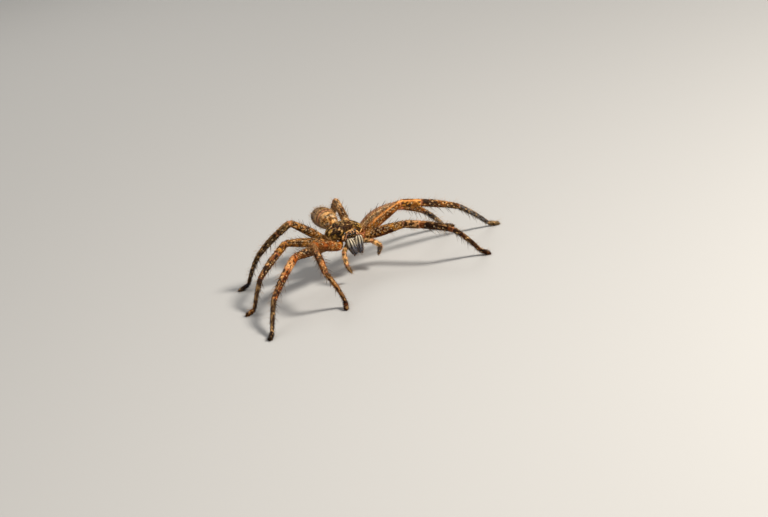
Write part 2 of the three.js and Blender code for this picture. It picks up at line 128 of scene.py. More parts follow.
# How far the skin of each piece of the body lies inside its solid, to leave room for the coat
INSET = {"abdomen": 0.14, "carapace": 0.06, "jaw": 0.05, "sternum": 0.05}
PIT_Y = 1.15  # the pit in the middle of the carapace
FURROWS = (38, 68, 98, 130)  # bearings of the furrows that run from the pit, in degrees
ABDOMEN_PITS = {"x": 1.05, "rows": (8.6, 10.6, 12.4)}

# The camera, in the stance's own frame before it is centred on the floor
CAMERA = {"azimuth": -22, "elevation": 19.4, "roll": -14, "distance": 561.6, "across": 8.04, "above": 2.93}
LENS = 100
SENSOR = 36


def srgb(red, green, blue):
    """A colour picked from 0 to 255, as linear light."""
    share = np.array([red, green, blue]) / 255
    return np.where(share <= 0.04045, share / 12.92, ((share + 0.055) / 1.055) ** 2.4)


CREAM = srgb(238, 186, 120)
STRAW = srgb(186, 124, 44)
OCHRE = srgb(126, 70, 16)
ORANGE = srgb(158, 78, 16)
RUSSET = srgb(82, 34, 8)
COCOA = srgb(38, 16, 4)
SOOT = srgb(16, 8, 4)
DRAB = srgb(84, 62, 36)
OLIVE = srgb(120, 92, 22)
SLATE = srgb(52, 52, 58)
HOARY = srgb(112, 108, 104)
BEIGE = srgb(158, 130, 92)
PINK = srgb(214, 132, 92)
MAUVE = srgb(140, 90, 78)
WHITE = srgb(240, 222, 190)
YELLOW = srgb(182, 140, 60)
PALE_DOT = srgb(236, 200, 150)
BUFF = srgb(214, 156, 98)
RUST = srgb(118, 58, 18)
AMBER = srgb(204, 122, 44)
IVORY = srgb(255, 224, 172)
TAN = srgb(214, 152, 92)
GOLD = srgb(220, 150, 46)
APRICOT = srgb(250, 168, 88)
ASHEN = srgb(184, 152, 124)
UMBER = srgb(106, 80, 62)
HONEY = srgb(250, 200, 122)
SADDLE = srgb(164, 96, 36)
FAWN = srgb(160, 126, 88)
WALNUT = srgb(112, 78, 52)
SALMON = srgb(244, 178, 138)
PALE_GOLD = srgb(255, 200, 128)
MAHOGANY = srgb(50, 22, 12)
INK = srgb(20, 18, 24)
PLUM = srgb(48, 22, 34)
BLUE_GREY = srgb(104, 108, 116)
CHALK = srgb(255, 242, 214)
PALE_BLUE = srgb(140, 144, 156)
CINNAMON = srgb(168, 108, 58)
KHAKI = srgb(150, 112, 72)


# Vectors and noise
def unit(v):
    v = np.asarray(v, float)
    return v / np.maximum(np.linalg.norm(v, axis=-1, keepdims=True), 1e-12)


def heading(turn, rise):
    a, e = radians(turn), radians(rise)
    return np.array([sin(a) * cos(e), -cos(a) * cos(e), sin(e)])


def smooth(x, low, high):
    """0 up to low and 1 from high on, with a soft step between."""
    t = np.clip((x - low) / (high - low), 0, 1)
    return t * t * (3 - 2 * t)


def falls(x, low, high):
    """1 up to low and 0 from high on."""
    return smooth(-x, -high, -low)


def hill(x, wide, y=0.0, long=1.0):
    """A hill about nought, 1 high in the middle and 0.37 at the half widths."""
    return np.exp(-((x / wide) ** 2) - (y / long) ** 2)


def mix(a, b, share):
    share = np.asarray(share)[..., None]
    return a * (1 - share) + b * share


def scatter(cell, seed):
    """A repeatable number from 0 to 1 for each cell of a lattice."""
    i, j, k = np.moveaxis(cell, -1, 0)
    n = (i * 73856093) ^ (j * 19349663) ^ (k * 83492791) ^ (seed * 2654435761)
    n = (n ^ (n >> 13)) * 1274126177 & 0xFFFFFFFF
    n = (n ^ (n >> 16)) * 2246822519 & 0xFFFFFFFF
    return ((n ^ (n >> 15)) & 0xFFFFFF) / 0xFFFFFF


def noise(p, size, seed):
    """Smooth noise from 0 to 1, with features of the given size in millimetres."""
    q = np.asarray(p) / size + 1000.0
    base = np.floor(q).astype(np.int64)
    f = q - base
    f = f * f * (3 - 2 * f)
    total = 0.0
    for corner in range(8):
        step = np.array([corner & 1, corner >> 1 & 1, corner >> 2 & 1])
        weight = np.prod(np.where(step, f, 1 - f), axis=-1)
        total = total + weight * scatter(base + step, seed)
    return total


def fractal(p, size, seed, octaves):
    total, weight = 0.0, 0.0
    for i in range(octaves):
        total = total + noise(p, size / 2**i, seed + 17 * i) / 2**i
        weight += 1 / 2**i
    return total / weight


def spots(p, size, seed):
    """Distance to the nearest of a scatter of points, as a share of their spacing."""
    q = np.asarray(p) / size + 1000.0
    base = np.floor(q).astype(np.int64)
    nearest = np.full(q.shape[:-1], FAR)
    for step in np.ndindex(3, 3, 3):
        cell = base + np.array(step) - 1
        at = np.stack([scatter(cell, seed + s) for s in (1, 2, 3)], axis=-1)
        nearest = np.minimum(nearest, np.linalg.norm(cell + at - q, axis=-1))
    return nearest


def patchy(p, size, seed, low, high):
    """1 in patches where noise is over high, and 0 where it is under low."""
    return smooth(fractal(p, size, seed, 2), low, high)


def specks(p, size, seed, inner, outer):
    """1 in scattered dots, out to an inner share of their spacing, and 0 beyond an outer share."""
    return falls(spots(p, size, seed), inner, outer)


# The body's frame, and the shift that centres the stance on the floor
PITCH_COS, PITCH_SIN = cos(radians(BODY_PITCH)), sin(radians(BODY_PITCH))
BODY_TURN = np.array([[1, 0, 0], [0, PITCH_COS, -PITCH_SIN], [0, PITCH_SIN, PITCH_COS]])


def in_body(p):
    return np.asarray(p, float) @ BODY_TURN.T + [0, 0, BODY_HEIGHT]


eye_low, eye_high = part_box("eye_front_outer_left")
shift = np.array((eye_low + eye_high) / 2) / MM - in_body(EYES["front_outer"][:3])
shift[2] = 0


class Patch:
    """A closed grid of points: rows along a piece and columns round it, drawn to a point at both ends."""

    def __init__(self, points):
        self.points = points
        self.rows, self.columns = points.shape[:2]
        self.colour = np.ones(points.shape)
        self.growth = np.ones(points.shape[:2])

    def tint(self, colour, share):
        """Lays a colour over the patch's own by a share from 0 to 1."""
        self.colour = mix(self.colour, colour, share)

    def normals(self):
        along = np.gradient(self.points, axis=0)
        around = np.roll(self.points, -1, axis=1) - np.roll(self.points, 1, axis=1)
        return unit(np.cross(along, around))


def body_patch(local):
    """A patch from points in the body's own frame."""
    return Patch(in_body(local) + shift)


def bearings(columns):
    return np.arange(columns) * 2 * pi / columns


def tube(centre, side, top, wide, high, columns):
    """Rings round a centre line. wide and high are half sizes, and the ends are drawn to a point."""
    angle = bearings(columns)
    across = np.cos(angle)[None, :, None] * np.asarray(wide)[:, None, None] * side[:, None]
    above = np.sin(angle)[None, :, None] * np.asarray(high)[:, None, None] * top[:, None]
    return centre[:, None] + across + above


def profile_at(profile, share):
    shares, radii = zip(*profile)
    return np.interp(share, shares, radii)


def chain(joints, bows, step):
    """Points along a chain of joints, with the segment and the share of it at each."""
    points, segments, shares = [], [], []
    for i, (start, end) in enumerate(zip(joints[:-1], joints[1:])):
        count = max(2, round(np.linalg.norm(end - start) / step))
        share = np.arange(count) / count
        direction = unit(end - start)
        rise = unit(np.cross(np.cross(direction, [0, 0, 1]), direction))
        bow = (4 * bows[i] * share * (1 - share))[:, None] * rise
        points.append(start + share[:, None] * (end - start) + bow)
        segments.append(np.full(count, i))
        shares.append(share)
    points.append(joints[-1][None])
    segments.append([len(bows) - 1])
    shares.append([1.0])
    return np.concatenate(points), np.concatenate(segments), np.concatenate(shares)


def rounded(line, times):
    """The same line with its corners rounded and its ends kept."""
    line = line.copy()
    for _ in range(times):
        line[1:-1] = (line[:-2] + 2 * line[1:-1] + line[2:]) / 4
    return line


def carried_frames(line, top):
    """Side and top directions along a line, turning no more than the line does."""
    along = unit(np.gradient(line, axis=0))
    tops = np.empty_like(line)
    for i, direction in enumerate(along):
        top = unit(top - top @ direction * direction)
        tops[i] = top
    return np.cross(along, tops), tops


STRETCH = 0.7  # markings run longer along a limb than across it, by one over this


class Limb(Patch):
    """A leg or palp: one skin over all its segments, with a fold at each joint."""

    def __init__(self, joints, girth, bows, scale, step, columns):
        line, self.segment, self.share = chain(joints, bows, step)
        self.line = line = rounded(line, 20)
        self.side, self.top = carried_frames(line, UP)
        lengths = [np.linalg.norm(b - a) for a, b in zip(joints[:-1], joints[1:])]
        length = np.array(lengths)[self.segment]
        to_next = (1 - self.share) * length
        from_last = self.share * length
        joint = np.minimum(to_next, from_last)
        # The two ends of the limb have no fold
        joint[(self.segment == 0) & (from_last < to_next)] = FAR
        joint[(self.segment == len(girth) - 1) & (to_next < from_last)] = FAR
        self.crease = hill(joint, FOLD["half"])
        rim = hill(joint - FOLD["rim"], FOLD["rim_half"])
        radius = np.array([profile_at(girth[s], t) for s, t in zip(self.segment, self.share)]) * scale
        radius = radius * (1 - FOLD["depth"] * self.crease + FOLD["rim_height"] * rim) * SKIN_GIRTH
        travelled = np.concatenate([[0], np.cumsum(np.linalg.norm(np.diff(line, axis=0), axis=1))])
        left = travelled[-1] - travelled
        tip = np.sqrt(np.clip(1 - (1 - np.clip(left / radius, 0, 1)) ** 2, 0, 1))
        self.radius = radius * tip * np.clip(travelled / ROOT_LENGTH, 0, 1)
        super().__init__(tube(line, self.side, self.top, self.radius * SECTION_WIDTH, self.radius, columns))
        self.points = self.points + shift
        self.points[..., 2] = np.maximum(self.points[..., 2], 0.0)
        self.bearing = bearings(columns)
        self.above = np.sin(self.bearing)
        run = np.broadcast_to(travelled[:, None], self.points.shape[:2])
        section = [np.outer(self.radius, part(self.bearing)) for part in (np.cos, np.sin)]
        self.unrolled = np.dstack([run, *section]) * [STRETCH, 1, 1]
        self.spines = []


def leg_joints(name):
    femur, tibia, metatarsus, tarsus_turn = STANCE[name]
    pair, side = int(name[3]) - 1, SIDES[name.split("_")[1]]
    inner = in_body([side * COXA[pair][0], COXA[pair][1], HIP_DROP])
    hip_x, hip_y = DRAWN_HIP.get(name, HIP[pair])
    hip = in_body([side * hip_x, hip_y, HIP_DROP])
    knee = hip + heading(*femur) * FEMUR[pair]
    patella_end = knee + heading(tibia[0], tibia[1] + PATELLA_RISE) * TIBIA[pair] * PATELLA_SHARE
    ankle = knee + heading(*tibia) * TIBIA[pair]
    heel = ankle + heading(*metatarsus) * METATARSUS[pair]
    drop = degrees(asin((heel[2] - FOOT_RADIUS) / TARSUS[pair]))
    toe = heel + heading(tarsus_turn, -drop) * TARSUS[pair]
    return [inner, hip, knee, patella_end, ankle, heel, toe]


def palp_joints(name):
    side = SIDES[name.split("_")[1]]
    places = [in_body([side * x, y, z]) for x, y, z in PALP_ROOT]
    for angles, length in zip(PALP_STANCE[name], PALP_LENGTHS):
        places.append(places[-1] + heading(*angles) * length)
    return places


# Markings
def mottled(p, pale, dark, size, seed, contrast=1.0):
    grain = fractal(p, size, seed, 4)
    return mix(pale, dark, smooth(grain, 0.5 - 0.22 / contrast, 0.5 + 0.22 / contrast))


DOT_SPACING = 1.05
DOT_BEARINGS = (5, 38, 71, 109, 142, 175)
HIGHLIGHT_STREAKS = (62, 118)  # bearings of the painted highlight streaks along the top of a limb


def dot_rows(limb):
    """Distance in millimetres to the nearest of the dots that stand in rows along a femur."""
    run = limb.unrolled[..., 0] / STRETCH
    nearest = np.full(run.shape, FAR)
    for i, bearing in enumerate(DOT_BEARINGS):
        place = run / DOT_SPACING + 0.5 * (i % 2)
        along = (place - np.round(place)) * DOT_SPACING
        across = (limb.bearing - radians(bearing)) * limb.radius[:, None]
        nearest = np.minimum(nearest, np.hypot(along, across))
    return nearest


def mark_limb(limb, scale, looks, seed, grooved):
    """Colours a limb. looks gives each segment a pale and a deep colour and how dark its flecks are."""
    q = limb.unrolled / scale + 31.0 * seed
    segment, share, crease = (values[:, None] for values in (limb.segment, limb.share, limb.crease))
    pale, deep, flecked = (np.array([looks[s][k] for s in limb.segment])[:, None] for k in range(3))
    blotch = fractal(q, 1.2, 5, 3)
    ring = fractal(q * [1, 0.25, 0.25], 1.2, 7, 2)
    fine = fractal(q, 0.42, 3, 2)
    limb.colour = mix(pale, deep, smooth(0.45 * blotch + 0.25 * ring + 0.3 * fine, 0.43, 0.57))
    root = (segment <= IN_FEMUR) * (share < 0.35)
    limb.tint(STRAW, 0.6 * patchy(q, 1.1, 13, 0.52, 0.66) * root)
    # Painted highlight: cream along the top of the patella, tibia and metatarsus
    shin = (segment > IN_FEMUR) * (segment < IN_TARSUS)
    limb.tint(CREAM, 0.25 * smooth(limb.above, 0.7, 0.97) * shin)
    thigh = (segment > IN_COXA) * (segment < IN_METATARSUS) * (share < 0.9)
    # Painted highlights: two pale streaks along the upper sides of femur, patella and tibia
    for bearing in HIGHLIGHT_STREAKS:
        highlight_streak = hill(np.degrees(limb.bearing) - bearing, 8)
        limb.tint(mix(ORANGE, CREAM, 0.4), 0.5 * highlight_streak * thigh)
    grooves = patchy(q * [0.22, 1, 1], 0.34, 29, 0.53, 0.63)
    limb.tint(RUSSET, grooved * grooves * (segment == IN_FEMUR))
    light = specks(q, 0.6, 23, 0.26, 0.4) * patchy(q, 1.3, 33, 0.4, 0.52)
    limb.tint(CREAM, 0.85 * light * (limb.above > -0.6))
    dark = smooth(0.7 * fractal(q, 0.5, 37, 2) + 0.3 * ring, 0.505, 0.555)
    limb.tint(COCOA, np.clip(0.9 * dark * flecked, 0, 0.94))
    dots = specks(q, 0.5, 43, 0.2, 0.3) * patchy(q, 0.9, 47, 0.46, 0.54)
    limb.tint(SOOT, 0.75 * dots * np.minimum(flecked, 1))
    for spine in limb.spines:
        near = np.linalg.norm(limb.points - spine.root, axis=-1)
        limb.tint(SOOT, 0.85 * hill(near - 0.34, 0.1))
        limb.tint(PALE_DOT, 0.85 * falls(near, 0.17, 0.25))
    limb.tint(PINK, 0.5 * crease * (segment < IN_METATARSUS))


# Each leg's pale and deep colours and fleck strength: femur, patella, tibia, metatarsus and tarsus
LEG_LOOKS = {
    "leg1_right": [
        (ORANGE, OCHRE, 0.45), (OCHRE, RUSSET, 0.5), (ORANGE, RUSSET, 0.85),
        (OCHRE, RUSSET, 1.0), (RUSSET, SOOT, 1.0),
    ],
    "leg2_right": [
        (OCHRE, RUSSET, 1.1), (BUFF, ORANGE, 1.1), (ORANGE, RUSSET, 1.05),
        (DRAB, COCOA, 1.0), (COCOA, SOOT, 0.8),
    ],
    "leg3_right": [
        (STRAW, OCHRE, 1.0), (STRAW, OCHRE, 1.0), (RUST, COCOA, 1.1),
        (DRAB, COCOA, 1.1), (OCHRE, COCOA, 0.9),
    ],
    "leg4_right": [
        (STRAW, OCHRE, 1.15), (DRAB, COCOA, 1.1), (DRAB, COCOA, 1.15),
        (DRAB, SLATE, 1.1), (DRAB, SLATE, 0.9),
    ],
    "leg1_left": [
        (STRAW, RUSSET, 1.1), (BUFF, RUSSET, 1.0), (RUST, COCOA, 1.15),
        (RUSSET, COCOA, 1.1), (RUSSET, SOOT, 1.0),
    ],
    "leg2_left": [
        (AMBER, OCHRE, 0.7), (STRAW, OCHRE, 1.1), (OCHRE, COCOA, 1.1),
        (HOARY, SLATE, 0.9), (BEIGE, DRAB, 0.5),
    ],
    # The third left femur's ivory is partly its own pale colour and partly painted light
    "leg3_left": [
        (IVORY, TAN, 0.45), (PINK, OCHRE, 0.8), (OCHRE, RUSSET, 1.1),
        (HOARY, SLATE, 0.9), (DRAB, SLATE, 0.8),
    ],
    "leg4_left": [
        (CREAM, OCHRE, 0.9), (BUFF, OCHRE, 0.9), (OCHRE, RUSSET, 1.1),
        (DRAB, COCOA, 0.8), (DRAB, COCOA, 0.6),
    ],
}
PALP_LOOKS = [(STRAW, OCHRE, 0.6), (CREAM, OLIVE, 0.9), (CREAM, OCHRE, 0.9), (DRAB, SLATE, 0.8)]
COXA_LOOKS = {"leg1_right": (GOLD, ORANGE, 0.3), "leg1_left": (PINK, ORANGE, 0.5)}
# What sets single femora apart: how strong the grooves and the dots are, a bloom of colour along the top,
# and a painted highlight, a bright line, with its bearing and colour
USUAL_GROOVES = 0.2
USUAL_DOTS = 0.3
GROOVED_FEMUR = {"leg1_right": 0.6}
DOTTED_FEMUR = {"leg3_left": 0.95, "leg2_left": 0.5, "leg1_left": 0.5, "leg1_right": 0.1}
BLOOM = {"leg3_left": MAUVE}
PAINTED_HIGHLIGHT = {"leg2_left": (48, APRICOT)}


def make_leg(name):
    bows = [BOWS[0], ARCHED_FEMUR.get(name, BOWS[1]), *BOWS[2:]]
    leg = Limb(leg_joints(name), GIRTH, bows, THICKNESS[int(name[3]) - 1], step=0.125, columns=44)
    leg.spines = spines_of(leg)
    looks = LEG_LOOKS[name]
    looks = [COXA_LOOKS.get(name, looks[0]), *looks]
    grooved = GROOVED_FEMUR.get(name, USUAL_GROOVES)
    mark_limb(leg, 1.0, looks, list(STANCE).index(name), grooved)
    on_femur = (leg.segment == IN_FEMUR)[:, None]
    dotted = DOTTED_FEMUR.get(name, USUAL_DOTS) * on_femur
    nearest = dot_rows(leg)
    leg.tint(COCOA, 0.8 * dotted * hill(nearest - 0.29, 0.09))
    leg.tint(PALE_DOT, dotted * falls(nearest, 0.15, 0.22))
    # Painted highlight: a bright line along the top of the femur and the patella
    if name in PAINTED_HIGHLIGHT:
        bearing, tint = PAINTED_HIGHLIGHT[name]
        ends = smooth(leg.share, 0.1, 0.3) * (leg.segment == IN_FEMUR) + (leg.segment == IN_PATELLA)
        highlight_line = hill(np.degrees(leg.bearing) - bearing, 13) * ends[:, None]
        leg.tint(tint, 0.85 * highlight_line)
    if name in BLOOM:
        leg.tint(BLOOM[name], 0.45 * smooth(leg.above, 0.75, 0.97) * on_femur)
    leg.growth = leg.growth * (1 - 0.8 * leg.crease)[:, None]
    return leg


def make_palp(name):
    palp = Limb(palp_joints(name), PALP_GIRTH, PALP_BOWS, 1.0, step=0.1, columns=28)
    mark_limb(palp, 0.7, PALP_LOOKS, 8, USUAL_GROOVES)
    return palp


# Spines stand in rows along each segment: the shares along it, the bearings and the length
SPINES = {
    IN_FEMUR: ([0.22, 0.4, 0.58, 0.76], [25, 90, 155], 1.9),
    IN_PATELLA: ([0.5], [5, 175], 1.2),
    IN_TIBIA: ([0.2, 0.44, 0.68], [0, 180, 245, 295], 2.4),
    IN_METATARSUS: ([0.1, 0.3, 0.52], [215, 325, 250, 290], 2.1),
}
SPINE_RADIUS = 0.07
SPINE_LEAN = 42  # degrees off the limb
SPINE_SUNK = 0.15
Spine = namedtuple("Spine", "root direction curve length")


def about(middle, spread):
    """A random value near the middle."""
    return middle + spread * draw.standard_normal()


def spines_of(leg):
    """A leg's spines. Each leans to the leg's tip, and one that would reach the floor is half as long."""
    found = []
    for segment, (shares, around, length) in SPINES.items():
        rows = np.flatnonzero(leg.segment == segment)
        for share in shares:
            for i, bearing in enumerate(around):
                at = about(share + 0.03 * (i % 2), 0.02)
                row = rows[np.clip(round(at * len(rows)), 0, len(rows) - 1)]
                turn = radians(about(bearing, 8))
                out = leg.side[row] * cos(turn) * SECTION_WIDTH + leg.top[row] * sin(turn)
                along = unit(leg.line[min(row + 1, len(leg.line) - 1)] - leg.line[row - 1])
                lean = radians(about(SPINE_LEAN, 7))
                direction = unit(out) * sin(lean) + along * cos(lean)
                root = leg.line[row] + shift + out * leg.radius[row]
                size = length * (0.85 + 0.3 * draw.random())
                if root[2] + direction[2] * size < 0.1:
                    size *= 0.5
                found.append(Spine(root, direction, along, size))
    return found


def sphere_rows(rows, columns):
    """Share along the axis, and places across and above it, for the rings of a ball."""
    angle = np.linspace(0, pi, rows)[:, None]
    bearing = bearings(columns)[None]
    x, z = np.sin(angle) * np.cos(bearing), np.sin(angle) * np.sin(bearing)
    return np.broadcast_to(-np.cos(angle), x.shape), x, z


# Pale bands across the abdomen: distance from its front, half width, strength and tint. Then dark broken
# lines: distance from its front and strength
PALE_BANDS = [(4.75, 0.42, 0.9, mix(PINK, CREAM, 0.35)), (5.95, 0.38, 0.75, CREAM), (3.3, 0.5, 0.8, CREAM)]
DARK_LINES = {1.2: 0.8, 2.5: 0.7, 4.05: 1.0, 5.4: 1.0, 6.5: 0.7, 7.7: 0.7, 8.9: 0.6, 10.0: 0.5}
DARK_LINE_HALF = 0.22


def make_abdomen():
    share, x, z = sphere_rows(130, 120)
    girth = 1 + 0.12 * share * (1 - share**2)
    inset = INSET["abdomen"]
    px = x * (ABDOMEN["width"] / 2 - inset) * girth
    py = ABDOMEN["middle_y"] + share * (ABDOMEN["length"] / 2 - inset)
    pz = ABDOMEN["middle_z"] + z * (ABDOMEN["height"] / 2 - inset) * girth
    pz = pz - ABDOMEN["droop"] * np.maximum(0, share) ** 2
    local = np.dstack([px, py, pz])
    bumps = fractal(local, 1.6, 41, 3) - 0.5
    away = unit(np.dstack([x, 0.3 * share, z]))
    pits = sum(hill(np.abs(px) - ABDOMEN_PITS["x"], 0.2, py - y, 0.24) for y in ABDOMEN_PITS["rows"])
    local = local + away * (0.12 * bumps - 0.1 * pits * (z > 0))[..., None]
    abdomen = body_patch(local)
    along = py - ABDOMEN["middle_y"] + ABDOMEN["length"] / 2
    ragged = 0.45 * (fractal(local, 0.8, 59, 3) - 0.5)
    ring = along + ragged + 0.12 * np.abs(px)
    back = smooth(z, -0.25, 0.25)
    rear = mottled(local, ASHEN, UMBER, 0.8, 51, 1.6)
    rear = mix(rear, OLIVE, 0.8 * hill(px, 0.9, along - 6.6, 0.8))
    # The front's pale ground is partly its own colour and partly painted light
    front = mottled(local, HONEY, SADDLE, 0.6, 57, 1.5)
    front = mix(front, WHITE, 0.6 * patchy(local, 0.7, 67, 0.54, 0.64))
    abdomen.colour = mix(rear, front, falls(ring, 3.8, 4.6) * smooth(z, -0.5, 0.0))
    for place, half, strength, tint in PALE_BANDS:
        abdomen.tint(tint, strength * hill(ring - place, half) * back)
    broken = patchy(local, 0.5, 69, 0.3, 0.46)
    for place, strength in DARK_LINES.items():
        abdomen.tint(COCOA, strength * hill(ring - place, DARK_LINE_HALF) * broken * back)
    speckle = patchy(local, 0.42, 71, 0.56, 0.62) * (0.3 + 0.5 * falls(along, 2.0, 4.5))
    abdomen.tint(COCOA, 0.85 * speckle)
    abdomen.tint(SOOT, specks(local, 1.3, 61, 0.12, 0.2) * back)
    abdomen.tint(COCOA, 0.7 * np.minimum(pits, 1) * (z > 0))
    below = mottled(local, FAWN, WALNUT, 1.0, 63)
    abdomen.tint(below, smooth(-z, 0.25, 0.65))
    return abdomen


def carapace_relief(x, y, p):
    """Height added to the carapace's dome by the middle pit, the furrows that run from it and fine bumps."""
    relief = -0.22 * hill(x, 0.16, y - PIT_Y, 0.6)
    for turn in FURROWS:
        towards = heading(turn, 0)
        reach = np.abs(x) * towards[0] + (y - PIT_Y) * towards[1]
        off = np.abs(x) * towards[1] - (y - PIT_Y) * towards[0]
        fade = smooth(reach, 0.3, 1.2) * falls(reach, 2.6, 4.0)
        relief = relief - 0.13 * hill(off, 0.2) * fade
    return relief + 0.05 * (fractal(p, 0.7, 71, 3) - 0.5)


# Arcs of colour round the top of the jaws: distance as a share of the outermost, half width and tint
FACE_ARCS = [(0.1, 0.4, COCOA), (0.56, 0.1, SOOT), (0.73, 0.065, SALMON), (0.86, 0.065, SOOT)]
FACE_ARCS += [(1.0, 0.075, PALE_GOLD), (1.15, 0.08, SOOT)]
OUTER_ARC = (2.3, 2.65)  # half its width, and its height over the edge of the face


def face_arcs(x, y, z):
    """Distance from the middle of the face's lower edge, as a share of the outermost arc's."""
    half = CARAPACE["width"] / 2 * CARAPACE["head_width"]
    edge = -CARAPACE["length"] / 2 * np.sqrt(np.clip(1 - (x / half) ** 2, 0, 1))
    edge = np.maximum(edge, CARAPACE["face"] * CARAPACE["length"] / 2)
    return np.hypot(x / OUTER_ARC[0], np.maximum(z + y - edge, 0) / OUTER_ARC[1])


def make_carapace():
    share, x, z = sphere_rows(110, 132)
    narrowing = 1 - (1 - CARAPACE["head_width"]) * smooth(-share, 0.28, 0.86)
    inset = INSET["carapace"]
    head = 0.14 * hill(x, 0.5, share + 0.62, 0.34)
    dome = np.sign(z) * np.abs(z) ** 0.9
    slope = 0.86 + 0.16 * smooth(share, CARAPACE["face"], 0.5)
    px = x * (CARAPACE["width"] / 2 - inset) * narrowing
    py = np.maximum(share, CARAPACE["face"]) * (CARAPACE["length"] / 2 - inset)
    high = (CARAPACE["height"] - inset) * dome * (slope + head)
    pz = np.where(z > 0, high, (CARAPACE["keel"] - inset) * dome)
    relief = carapace_relief(px, py, np.dstack([px, py, pz])) * smooth(z, 0.05, 0.35)
    pz = pz + relief
    for ex, ey, ez, radius in ALL_EYES:
        near = np.sqrt((px - ex) ** 2 + (py - ey) ** 2 + (pz - ez) ** 2)
        mound = 0.1 * hill(near - radius, 0.16)
        py = py - mound
        pz = pz + 0.5 * mound
    local = np.dstack([px, py, pz])
    carapace = body_patch(local)
    mark_carapace(carapace, local, z, relief)
    return carapace


def mark_carapace(shell, local, z, relief):
    """Streaks and flecks that run out from the pit, a flecked rim, and the arcs and flecks of the head."""
    px, py, pz = np.moveaxis(local, -1, 0)
    flank = smooth(np.hypot(px / 5.0, (py - 0.4) / 5.3), 0.45, 0.9)
    shell.colour = mix(COCOA, RUSSET, patchy(local, 1.1, 75, 0.42, 0.6))
    shell.tint(OLIVE, 0.35 * flank)
    from_pit = np.hypot(px, py - PIT_Y)
    round_pit = 3.0 * np.arctan2(np.abs(px), py - PIT_Y)
    rays = np.dstack([0.55 * from_pit, 1.1 * round_pit, 9 * np.sign(px)])
    yellow = smooth(fractal(rays, 0.5, 77, 2) - 0.05 + 0.06 * flank, 0.49, 0.54)
    shell.tint(YELLOW, yellow * (0.5 + 0.4 * flank))
    shell.tint(COCOA, (0.95 - 0.1 * flank) * patchy(rays, 0.6, 73, 0.45, 0.51))
    top = hill(px, 1.6, py + 1.7, 1.3)
    shell.tint(mix(SOOT, RUSSET, 0.4), 0.7 * top)
    flecks = specks(rays, 0.6, 81, 0.32, 0.42) * patchy(local, 1.2, 83, 0.4, 0.48)
    shell.tint(CREAM, 0.95 * flecks)
    shell.tint(SOOT, 0.95 * patchy(local, 0.5, 79, 0.56, 0.6))
    shell.tint(SOOT, 0.85 * smooth(-relief, 0.03, 0.12))
    rim = mix(CREAM, COCOA, patchy(local, 0.7, 87, 0.46, 0.54))
    shell.tint(rim, 0.9 * falls(z, 0.04, 0.24))
    arcs = face_arcs(px, py, pz) + 0.04 * (fractal(local, 0.5, 91, 2) - 0.5)
    head = smooth(-py, 2.2, 2.9)
    for place, wide, tint in FACE_ARCS:
        shell.tint(tint, 0.95 * head * np.exp(-np.abs((arcs - place) / wide) ** 4))
    flecks = specks(local, 0.42, 93, 0.24, 0.36) * falls(arcs, 0.56, 0.62) * head
    shell.tint(CREAM, 0.8 * flecks)


def jaw_axes(side):
    """Down and back along a jaw, and the middle of its top."""
    lean = radians(CHELICERA["lean"])
    down = np.array([0, -sin(lean), -cos(lean)])
    back = np.array([0, cos(lean), -sin(lean)])
    top = np.array([side * (CHELICERA["width"] + GAP) / 2, JAW_TOP["y"], JAW_TOP["z"]])
    return down, back, top


JAW_PROFILE = [(0, 0.0), (0.015, 0.3), (0.05, 0.62), (0.1, 0.85), (0.2, 1.0), (0.36, 1.05), (0.6, 0.95)]
JAW_PROFILE += [(0.84, 0.76), (0.93, 0.6), (0.98, 0.36), (1, 0.0)]
# Pale stripes down a jaw: place from -1 at its inner edge to 1 at its outer, and the share where each fades
JAW_STRIPES = [(-0.66, 0.4), (0.0, 0.62), (0.66, 0.5)]


def make_chelicera(side):
    rows, columns = 90, 64
    length = CHELICERA["length"]
    share = np.concatenate([[0], np.arange(rows - 2) / (rows - 3), [1]])
    radius = profile_at(JAW_PROFILE, share)
    down, back, top = jaw_axes(side)
    swell = CHELICERA["swell"] * np.sin(pi * share)
    inward = -side * CHELICERA["inward"] * length * share
    centre = top + share[:, None] * length * down + swell[:, None] * back + inward[:, None] * [1, 0, 0]
    ones = np.ones((rows, 1))
    across = np.cross(down, -back)
    wide, deep = (radius * (CHELICERA[size] / 2 - INSET["jaw"]) for size in ("width", "depth"))
    local = tube(centre, across * ones, -back * ones, wide, deep, columns)
    local[..., 0] = side * np.maximum(side * local[..., 0], GAP / 2 + 0.03)
    jaw = body_patch(local)
    drop = share[:, None]
    front = np.sin(bearings(columns))
    outward = np.cos(bearings(columns)) * side
    wander = 0.16 * (fractal(local, 0.9, 97, 2) - 0.5)
    stripes = 0
    for place, start in JAW_STRIPES:
        stripe = np.exp(-np.abs((outward - place + wander) / 0.17) ** 3)
        stripes = np.maximum(stripes, stripe * (1 - 0.75 * smooth(drop, start, start + 0.2)))
    # Darker towards the bottom: partly the jaws' own dark colour and partly painted shade
    jaw.colour = mix(MAHOGANY, INK, smooth(drop, 0.08, 0.35))
    jaw.tint(PLUM, 0.7 * smooth(outward, 0.55, 0.9) * falls(drop, 0.5, 0.75))
    hoary = patchy(local * [3, 1, 0.6], 0.5, 99, 0.5, 0.6) * smooth(drop, 0.45, 0.65)
    jaw.tint(BLUE_GREY, 0.6 * hoary)
    stripe = mix(CHALK, PALE_BLUE, smooth(drop, 0.28, 0.58))
    jaw.tint(stripe, 0.95 * stripes * smooth(front, -0.3, 0.1))
    jaw.tint(SOOT, 0.8 * falls(drop, 0.02, 0.045))
    jaw.growth = jaw.growth * (0.5 + 0.5 * smooth(front, -0.5, 0.2))
    return jaw


def ball(centre, sizes, rows, columns):
    share, x, z = sphere_rows(rows, columns)
    return np.dstack([x * sizes[0], share * sizes[1], z * sizes[2]]) + centre


